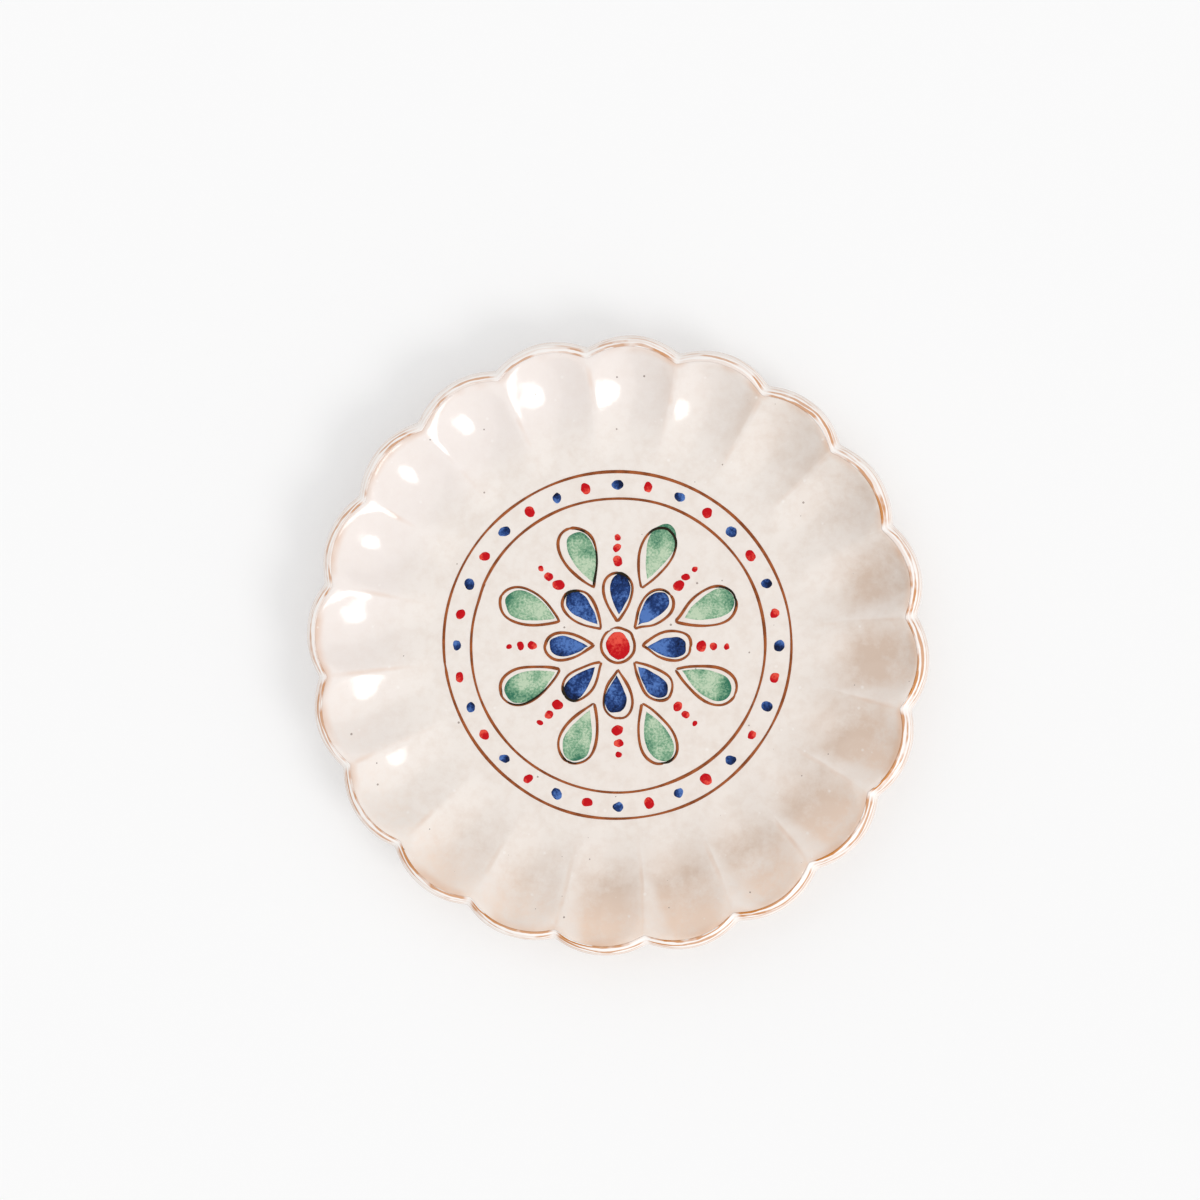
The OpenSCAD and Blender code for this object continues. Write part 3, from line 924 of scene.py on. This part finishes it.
class PLATE_OT_glaze(bpy.types.Operator):
    """Build the cream glaze on the face, the back and the base"""

    bl_idname = "plate.glaze"
    bl_label = "Cream glaze"

    def execute(self, context):
        sizes = context.scene.plate_sizes
        form = PlateForm(sizes)
        material = glaze_material(context.scene.plate_colours)
        across = across_values(ACROSS_STEPS)
        along = along_values(WALL_STEPS)
        under = along_values(UNDER_STEPS)
        coat = sizes.glaze_t / sizes.wall_t

        rings = np.linspace(0.0, 1.0, FLOOR_RINGS + 1)[None, 1:-1] * form.floor_r
        section = joined(
            level_stretch(rings, sizes.floor_z), form.wall(along, across),
            form.lip(np.array([[0.0, coat]]), across), flipped(form.wall(under, across, sizes.glaze_t)),
        )
        wall = np.hstack([np.zeros_like(rings), along, [[1.0, 1.0]], under[:, ::-1]])
        heights = (sizes.floor_z, sizes.floor_z - sizes.glaze_t)
        sector = lobe_sector("face_glaze", form, across, section, heights, wall=wall, **lobe_places(across))
        placed(shell_piece(form, sector, material), "face_glaze")

        back = along_values(BACK_STEPS)
        start = np.array([[sizes.foot_r]])
        top = sizes.floor_z - sizes.wall_t + sizes.glaze_t
        bottom = sizes.floor_z - sizes.wall_t
        section = joined(
            level_stretch(start, top),
            form.wall(under, across, sizes.wall_t - sizes.glaze_t, rolled=False),
            form.lip(np.array([[1 - coat, 1.0]]), across),
            flipped(form.wall(back, across, sizes.wall_t, rolled=False)),
            level_stretch(start, bottom),
        )
        wall = np.hstack([[[0.0]], under, [[1.0, 1.0]], back[:, ::-1], [[0.0]]])
        sector = lobe_sector("back_glaze", form, across, section, wall=wall, **lobe_places(across))
        placed(shell_piece(form, sector, material), "back_glaze")

        bore_r = sizes.foot_r - sizes.foot_w
        creep = [(bore_r - inward * GLAZE_CREEP, bottom - down * GLAZE_CREEP) for inward, down in CREEP_CURVE]
        profile = [(0, top), (bore_r, top), *creep, (0, bottom)]
        placed(lathed("base_glaze", profile, material), "base_glaze")
        return {"FINISHED"}


class PLATE_OT_lip(bpy.types.Operator):
    """Build the thin glaze on the trimmed lip"""

    bl_idname = "plate.lip"
    bl_label = "Lip glaze"

    def execute(self, context):
        sizes = context.scene.plate_sizes
        form = PlateForm(sizes)
        across = across_values(ACROSS_STEPS)
        shares = LIP_SHARES[None, :]
        section = joined(form.lip(shares, across, sizes.lip_glaze_t), flipped(form.lip(shares, across)))
        lip = np.hstack([shares, shares[:, ::-1]])
        sector = lobe_sector("lip_glaze", form, across, section, lip=lip, **lobe_places(across))
        material = lip_material(context.scene.plate_colours)
        placed(shell_piece(form, sector, material), "lip_glaze")
        return {"FINISHED"}


# Painting: the seed of the hand's stray, how thick the colours lie and how far their edges sink in
HAND_SEED = 11
WASH_H = 0.07 * MM
LINE_H = 0.16 * MM
ENAMEL_H = 0.16 * MM
SINK = 0.06 * MM

# Widest half width of a stroke's curve before it is scaled
STROKE_PEAK = 4 * math.sqrt(3) / 9

# Each wash's outline: points, range of its size, turn in radians, stray of its edge and knots of that stray,
# and where its middle lies along it
WASH_POINTS = 56
WASH_GROW = (0.94, 1.06)
WASH_TURN = 0.06
WASH_EDGE = 0.3 * MM
WASH_KNOTS = 14
WASH_MIDDLE = 0.58

# How full the drops and the petals are, how far they lie off their marks, and their seeds
DROP_HAND = (1.12, 1.0 * MM, HAND_SEED)
PETAL_HAND = (1.1, 0.5 * MM, HAND_SEED + 1)

# Colour in a wash: everywhere, at its far end, along its edge and underneath, and how late it thins and pools
# at the edge
POOL_LEAST = 0.2
POOL_FAR = 0.5
POOL_EDGE = 0.4
POOL_UNDER = 0.5
EDGE_THIN = 6
EDGE_POOL = 5

# A painted line's round shoulders: place across it and height, as shares
SHOULDER = (0.7, 0.75)


def wander(rng, steps, knots, amount):
    """Smooth random curve that strays by about an amount."""
    marks = rng.uniform(-1.0, 1.0, knots + 1) * amount
    place = np.linspace(0.0, knots, steps)
    low = np.minimum(place.astype(int), knots - 1)
    past = place - low
    ease = past * past * (3 - 2 * past)
    return marks[low] * (1 - ease) + marks[low + 1] * ease


def teardrop(long, wide, turns):
    """Outline of a loaded brush stroke: a point at the origin that swells to a round end along +X."""
    x = long / 2 * (1 - np.cos(turns))
    y = wide / 2 * np.sin(turns) * np.sin(turns / 2) / STROKE_PEAK
    return np.stack([x, y], axis=-1)


def turned(points, turn, shift=(0.0, 0.0)):
    """Points moved by a shift and then turned about the plate's centre."""
    x, y = (points + np.asarray(shift)).T
    cosine, sine = math.cos(turn), math.sin(turn)
    return np.stack([x * cosine - y * sine, x * sine + y * cosine], axis=-1)


def plan_points(radius, turn):
    """Points in plan at distances from the plate's centre and turns from the +X axis."""
    return np.stack([radius * np.cos(turn), radius * np.sin(turn)], axis=-1)


def drop_ring(sizes):
    """Start radius, length and width of the green drops, and how many steps they lie past the petals."""
    return sizes.drop_from_r, sizes.drop_l, sizes.drop_w, 0.5


def petal_ring(sizes):
    """Start radius, length and width of the blue petals, and their steps past the +X axis."""
    return sizes.petal_from_r, sizes.petal_l, sizes.petal_w, 0.0


def wash_outlines(sizes, ring, hand):
    """Outline and middle of each stroke in a ring, laid down by a hand that strays a little."""
    start_r, long, wide, past = ring
    fullness, stray, seed = hand
    rng = np.random.default_rng(seed)
    step = 2 * math.pi / sizes.petal_count
    turns = np.linspace(0.0, 2 * math.pi, WASH_POINTS, endpoint=False)
    strokes = []
    for k in range(sizes.petal_count):
        grow = fullness * rng.uniform(*WASH_GROW, 2)
        outline = teardrop(long * grow[0], wide * grow[1], turns)
        outline = turned(outline, rng.uniform(-WASH_TURN, WASH_TURN))
        edge = wander(rng, len(turns), WASH_KNOTS, WASH_EDGE)
        edge[-1] = edge[0]
        middle = np.array([WASH_MIDDLE * long, 0.0])
        away = outline - middle
        outline = outline + away / np.linalg.norm(away, axis=1)[:, None] * edge[:, None]
        shift = np.array([start_r, 0.0]) + rng.uniform(-stray, stray, 2)
        turn = step * (k + past)
        strokes.append((turned(outline, turn, shift), turned(middle[None, :], turn, shift)[0]))
    return strokes


def green_strokes(sizes):
    return wash_outlines(sizes, drop_ring(sizes), DROP_HAND)


def blue_strokes(sizes):
    return wash_outlines(sizes, petal_ring(sizes), PETAL_HAND)


def surface_heights():
    """Function that gives the height of the glazed face at points in plan."""
    mesh = bpy.data.objects["face_glaze"].data
    tree = BVHTree.FromPolygons([v.co for v in mesh.vertices], [p.vertices for p in mesh.polygons])
    above = PLATE_D
    down = Vector((0.0, 0.0, -1.0))

    def heights(points):
        found = [tree.ray_cast(Vector((x, y, above)), down)[0] for x, y in points]
        return np.array([hit.z for hit in found])

    return heights


def inside(points, outline):
    """1 for each point in plan that lies inside an outline, and 0 for the rest."""
    x, y = points[:, :1], points[:, 1:]
    ax, ay = outline.T
    bx, by = np.roll(outline, -1, axis=0).T
    crosses = (ay > y) != (by > y)
    span = np.where(by == ay, 1e-12, by - ay)
    return ((crosses & (x < ax + (y - ay) / span * (bx - ax))).sum(axis=1) % 2).astype(float)


class Painting:
    """Collects brushed shapes that lie on the glazed face, and makes them one piece."""

    def __init__(self):
        self.heights = surface_heights()
        self.points = []
        self.faces = []
        self.values = []
        self.total = 0

    def take(self, points, faces, values):
        self.points.append(points)
        self.faces += [tuple(i + self.total for i in face) for face in faces]
        self.values.append(values)
        self.total += len(points)

    def patch(self, outline, middle):
        """Filled stroke that thins out at its edge; most colour is left at its far end and along its edge."""
        sides = len(outline)
        shares = np.linspace(0.0, 1.0, WASH_RINGS + 1)[1:]
        plan = np.vstack([middle[None, :]] + [middle + (outline - middle) * s for s in shares])
        outward = np.hstack([[0.0], np.repeat(shares, sides)])
        base = self.heights(plan)
        thin = outward ** EDGE_THIN
        top = np.column_stack([plan, base + WASH_H * (1 - thin) - SINK * thin])
        under = np.array([[*middle, base[0] - SINK]])
        far = np.linalg.norm(plan, axis=1)
        far = (far - far.min()) / (far.max() - far.min())
        pool = POOL_LEAST + POOL_FAR * far ** 2 + POOL_EDGE * outward ** EDGE_POOL
        faces = [(0, 1 + k, 1 + (k + 1) % sides) for k in range(sides)]
        faces += quads(WASH_RINGS, sides, start=1)
        rim = 1 + (WASH_RINGS - 1) * sides
        faces += [(len(top), rim + (k + 1) % sides, rim + k) for k in range(sides)]
        self.take(np.vstack([top, under]), faces, np.append(pool, POOL_UNDER))

    def line(self, path, widths, washes):
        """Brushed line along a path, darker where it crosses a wash."""
        way = np.gradient(path, axis=0)
        way /= np.linalg.norm(way, axis=1)[:, None]
        side = np.stack([-way[:, 1], way[:, 0]], axis=-1)
        base = self.heights(path)
        out, lift = SHOULDER[0], SHOULDER[1] * LINE_H
        profile = ((-1.0, -SINK), (-out, lift), (0.0, LINE_H), (out, lift), (1.0, -SINK))
        rows = []
        for across, height in profile:
            plan = path + side * (across * widths / 2)[:, None]
            rows.append(np.column_stack([plan, base + height]))
        points = np.stack(rows, axis=1).reshape(-1, 3)
        columns = len(profile)
        faces = [tuple(range(columns)), tuple(len(points) - 1 - i for i in range(columns))]
        faces += quads(len(path), columns)
        over = np.zeros(len(points))
        for outline, _ in washes:
            over = np.maximum(over, inside(points[:, :2], outline))
        self.take(points, faces, over)

    def piece(self, name, key, material):
        """The collected shapes as one closed, smooth mesh, with their numbers as an attribute."""
        made = mesh_object(name, np.vstack(self.points), self.faces, {key: np.hstack(self.values)})
        shell = bmesh.new()
        shell.from_mesh(made.data)
        bmesh.ops.recalc_face_normals(shell, faces=shell.faces)
        shell.to_mesh(made.data)
        shell.free()
        made.data.materials.append(material)
        made.data.shade_smooth()
        return made


# Grain of the ground pigments, as the distance from one grain to the next
GREEN_GRAIN = 0.8 * MM
ENAMEL_GRAIN = 0.9 * MM


class PLATE_OT_washes(bpy.types.Operator):
    """Paint the green drops and the blue petals"""

    bl_idname = "plate.washes"
    bl_label = "Drops and petals"

    def execute(self, context):
        sizes = context.scene.plate_sizes
        colours = context.scene.plate_colours
        drops = Painting()
        for outline, middle in green_strokes(sizes):
            drops.patch(outline, middle)
        green = paint_material(
            "copper_green_wash", colours.green_thin, colours.green, colours.green_dark, GREEN_GRAIN
        )
        placed(drops.piece("green_drops", "pool", green), "green_drops")

        petals = Painting()
        for outline, middle in blue_strokes(sizes):
            petals.patch(outline, middle)
        blue = paint_material("cobalt_wash", colours.blue_thin, colours.blue, colours.blue_dark, ENAMEL_GRAIN)
        placed(petals.piece("blue_petals", "pool", blue), "blue_enamel")
        return {"FINISHED"}


# Two lines from the point of a stroke outline it, and pass each other at its round end: turns from and to
OUTLINE_TURNS = ((0.0, math.pi + 0.3), (2 * math.pi, math.pi - 0.12))
OUTLINE_POINTS = 44
OUTLINE_TILT = 0.03
OUTLINE_KNOTS = 5
OUTLINE_STRAY = 0.25 * MM

# A ring is banded on a wheel, and its end just misses its start: points, radius for each one more, turn past
# the start, range of the start, how far the line drifts, and the knots and amount of its stray
BAND_POINTS = 40
BAND_STEP = 0.25 * MM
BAND_PAST = 0.12
BAND_STARTS = (0.0, 6.0)
BAND_DRIFT = 0.2 * MM
BAND_KNOTS = 16
BAND_STRAY = 0.22 * MM

# Brush: points over which a line tapers at its ends, its least width there, its mean width and how much it
# changes, as shares, and the least number of changes along it and the points for each
TAPER_POINTS = 4
TAPER_LEAST = 0.25
BRUSH_MEAN = 1.06
BRUSH_UNEVEN = 0.25
BRUSH_KNOTS = 6
POINTS_PER_KNOT = 9


class PLATE_OT_lines(bpy.types.Operator):
    """Paint the brown outlines and the border lines"""

    bl_idname = "plate.lines"
    bl_label = "Brown lines"

    def execute(self, context):
        sizes = context.scene.plate_sizes
        washes = green_strokes(sizes) + blue_strokes(sizes)
        rng = np.random.default_rng(HAND_SEED + 2)
        lines = Painting()
        step = 2 * math.pi / sizes.petal_count
        grow = sizes.stroke_gap + sizes.line_w / 2
        for start_r, long, wide, past in (petal_ring(sizes), drop_ring(sizes)):
            for k in range(sizes.petal_count):
                for from_turn, to_turn in OUTLINE_TURNS:
                    turns = np.linspace(from_turn, to_turn, OUTLINE_POINTS)
                    path = teardrop(long + 2 * grow, wide + 2 * grow, turns)
                    path = turned(path, rng.uniform(-OUTLINE_TILT, OUTLINE_TILT), (-grow, 0.0))
                    stray = [wander(rng, OUTLINE_POINTS, OUTLINE_KNOTS, OUTLINE_STRAY) for _ in ("x", "y")]
                    path += np.stack(stray, axis=-1)
                    path = turned(path, step * (k + past), (start_r, 0.0))
                    self.stroke(lines, rng, path, sizes.line_w, washes)
        for radius in (sizes.ring_r, sizes.inner_border_r, sizes.border_r):
            steps = BAND_POINTS + int(radius / BAND_STEP)
            turns = np.linspace(0.0, 2 * math.pi + BAND_PAST, steps) + rng.uniform(*BAND_STARTS)
            drift = np.linspace(-BAND_DRIFT, BAND_DRIFT, steps) + wander(rng, steps, BAND_KNOTS, BAND_STRAY)
            self.stroke(lines, rng, plan_points(radius + drift, turns), sizes.line_w, washes)
        material = line_material(context.scene.plate_colours)
        placed(lines.piece("brown_lines", "over_wash", material), "brown_lines")
        return {"FINISHED"}

    def stroke(self, lines, rng, path, width, washes):
        """One line of the brush, tapered at both ends and uneven along it."""
        steps = len(path)
        place = np.linspace(0.0, 1.0, steps)
        taper = np.clip(np.minimum(place, 1 - place) * steps / TAPER_POINTS, TAPER_LEAST, 1.0)
        knots = max(BRUSH_KNOTS, steps // POINTS_PER_KNOT)
        widths = width * taper * (BRUSH_MEAN + wander(rng, steps, knots, BRUSH_UNEVEN))
        lines.line(path, widths, washes)


# Enamel dots: sizes in a row as shares of a border dot, how far each lies off its mark, the range of its
# size, and how far its outline strays, over which span and from which seed
ROW_SIZES = (1.0, 0.8, 0.6)
DOT_STRAY = 0.35 * MM
DOT_GROW = (0.88, 1.12)
DOT_UNEVEN = 1.1 * MM
DOT_UNEVEN_SPAN = 2.2 * MM
DOT_SEED = 5.0


class PLATE_OT_dots(bpy.types.Operator):
    """Lay the blue and red enamel dots"""

    bl_idname = "plate.dots"
    bl_label = "Enamel dots"

    def execute(self, context):
        sizes = context.scene.plate_sizes
        colours = context.scene.plate_colours
        rng = np.random.default_rng(HAND_SEED + 3)
        ring_r = (sizes.inner_border_r + sizes.border_r) / 2
        border = [(ring_r, k * 2 * math.pi / sizes.dot_count, sizes.dot_r) for k in range(sizes.dot_count)]
        blue = border[0::2]
        red = border[1::2] + [(0.0, 0.0, sizes.centre_r)]
        row_from_r = sizes.petal_from_r + sizes.petal_l + 2 * (sizes.line_w + sizes.stroke_gap) + sizes.dot_r
        for k in range(sizes.petal_count):
            for row, size in enumerate(ROW_SIZES):
                radius = row_from_r + row * (2 * sizes.dot_r + sizes.stroke_gap)
                red.append((radius, k * 2 * math.pi / sizes.petal_count, size * sizes.dot_r))
        blue_paint = paint_material(
            "cobalt_enamel", colours.blue_thin, colours.blue, colours.blue_dark, ENAMEL_GRAIN
        )
        red_paint = paint_material(
            "red_enamel_paint", colours.red_thin, colours.red, colours.red, ENAMEL_GRAIN
        )
        placed(self.dots("blue_dots", blue, rng, blue_paint), "blue_enamel")
        placed(self.dots("red_dots", red, rng, red_paint), "red_enamel")
        return {"FINISHED"}

    def dots(self, name, places, rng, material):
        """Dots of enamel at (radius, angle, size), each laid a little off its mark."""
        radius, turn, size = np.array(places).T
        plan = plan_points(radius, turn)
        plan += rng.uniform(-DOT_STRAY, DOT_STRAY, plan.shape)
        points = np.column_stack([plan, surface_heights()(plan)])
        numbers = {
            "dot_size": size * rng.uniform(*DOT_GROW, len(size)),
            "dot_turn": rng.uniform(0.0, 2 * math.pi, len(size)),
        }
        return shaped(
            mesh_object(name, points, [], numbers), tree_named("Enamel dots", enamel_dots_tree),
            height=ENAMEL_H, unevenness=DOT_UNEVEN, uneven_span=DOT_UNEVEN_SPAN, seed=DOT_SEED,
            material=material,
        )


# Photograph: it looks straight down. Its width, the plate's diameter and the plate's centre, in its pixels
FRAME_PIXELS = 1200
PLATE_PIXELS = 624
CENTRE_PIXEL = (618.0, 646.0)
PIXEL = PLATE_D / PLATE_PIXELS
CAMERA_AWAY = 1.15
CAMERA_REACH = (0.01, 50.0)
SENSOR = 36.0

# White table, how far it reaches from the plate and how strongly it glows, and the light of the white room
TABLE_REACH = 20.0
TABLE_GLOW = 0.3
ROOM_LIGHT = 0.632

# A lamp in a soft box, the wide glow of the room round it, and a white card that throws some light back:
# direction and height in degrees, strength, and how many degrees wide each looks from the plate
LAMPS = (
    ("soft_box", -39, 40, 0.78, 25),
    ("room_glow", -39, 40, 0.8, 95),
    ("white_card", 128, 30, 0.55, 80),
)


class PLATE_OT_stage(bpy.types.Operator):
    """Set out the table, the light and the camera"""

    bl_idname = "plate.stage"
    bl_label = "Table, light and camera"

    def execute(self, context):
        scene = context.scene
        corners = [(x * TABLE_REACH, y * TABLE_REACH, 0.0) for x, y in ((-1, -1), (1, -1), (1, 1), (-1, 1))]
        table = mesh_object("table", corners, [(0, 1, 2, 3)])
        # White acrylic board lit from below: its glow keeps the shadow pale
        material, tree, shader, _ = new_material("lit_white_board")
        board = {"Base Color": scene.plate_colours.table, "Roughness": 0.9, "Specular IOR Level": 0.1}
        fill_inputs(tree, shader, {**board, "Emission Color": WHITE, "Emission Strength": TABLE_GLOW})
        table.data.materials.append(material)

        world = scene.world or bpy.data.worlds.new("studio")
        scene.world = world
        world.use_nodes = True
        background = world.node_tree.nodes["Background"]
        fill_inputs(world.node_tree, background, {"Color": WHITE, "Strength": ROOM_LIGHT})

        for name, side, height, energy, spread in LAMPS:
            side, height = math.radians(side), math.radians(height)
            level = math.cos(height)
            towards = Vector((math.cos(side) * level, math.sin(side) * level, math.sin(height)))
            light = bpy.data.lights.new(name, "SUN")
            light.energy = energy
            light.angle = math.radians(spread)
            lamp = bpy.data.objects.new(name, light)
            lamp.rotation_euler = towards.to_track_quat("Z", "Y").to_euler()
            scene.collection.objects.link(lamp)

        lens = bpy.data.cameras.new("camera")
        lens.sensor_width = SENSOR
        lens.lens = SENSOR * CAMERA_AWAY / (FRAME_PIXELS * PIXEL)
        lens.clip_start, lens.clip_end = CAMERA_REACH
        camera = bpy.data.objects.new("camera", lens)
        middle = FRAME_PIXELS / 2
        camera.location = (
            (middle - CENTRE_PIXEL[0]) * PIXEL,
            (CENTRE_PIXEL[1] - middle) * PIXEL,
            scene.plate_sizes.plate_h + CAMERA_AWAY,
        )
        scene.collection.objects.link(camera)
        scene.camera = camera
        scene.view_settings.view_transform = "Standard"
        return {"FINISHED"}


STEPS = (
    PLATE_OT_clay, PLATE_OT_glaze, PLATE_OT_lip, PLATE_OT_washes, PLATE_OT_lines, PLATE_OT_dots,
    PLATE_OT_stage,
)


class PLATE_PT_panel(bpy.types.Panel):
    """Buttons that build the plate, in order"""

    bl_idname = "PLATE_PT_panel"
    bl_label = "Scalloped plate"
    bl_space_type = "VIEW_3D"
    bl_region_type = "UI"
    bl_category = "Plate"

    def draw(self, context):
        column = self.layout.column()
        for step in STEPS:
            column.operator(step.bl_idname)
        for group in (context.scene.plate_sizes, context.scene.plate_colours):
            for name in group.__annotations__:
                column.prop(group, name)


CLASSES = (PlateSizes, PlateColours, *STEPS, PLATE_PT_panel)


def register():
    for made in CLASSES:
        bpy.utils.register_class(made)
    bpy.types.Scene.plate_sizes = bpy.props.PointerProperty(type=PlateSizes)
    bpy.types.Scene.plate_colours = bpy.props.PointerProperty(type=PlateColours)


def unregister():
    del bpy.types.Scene.plate_colours
    del bpy.types.Scene.plate_sizes
    for made in reversed(CLASSES):
        bpy.utils.unregister_class(made)


def main():
    register()
    bpy.ops.plate.clay()
    bpy.ops.plate.glaze()
    bpy.ops.plate.lip()
    bpy.ops.plate.washes()
    bpy.ops.plate.lines()
    bpy.ops.plate.dots()
    bpy.ops.plate.stage()


if __name__ == "__main__":
    main()
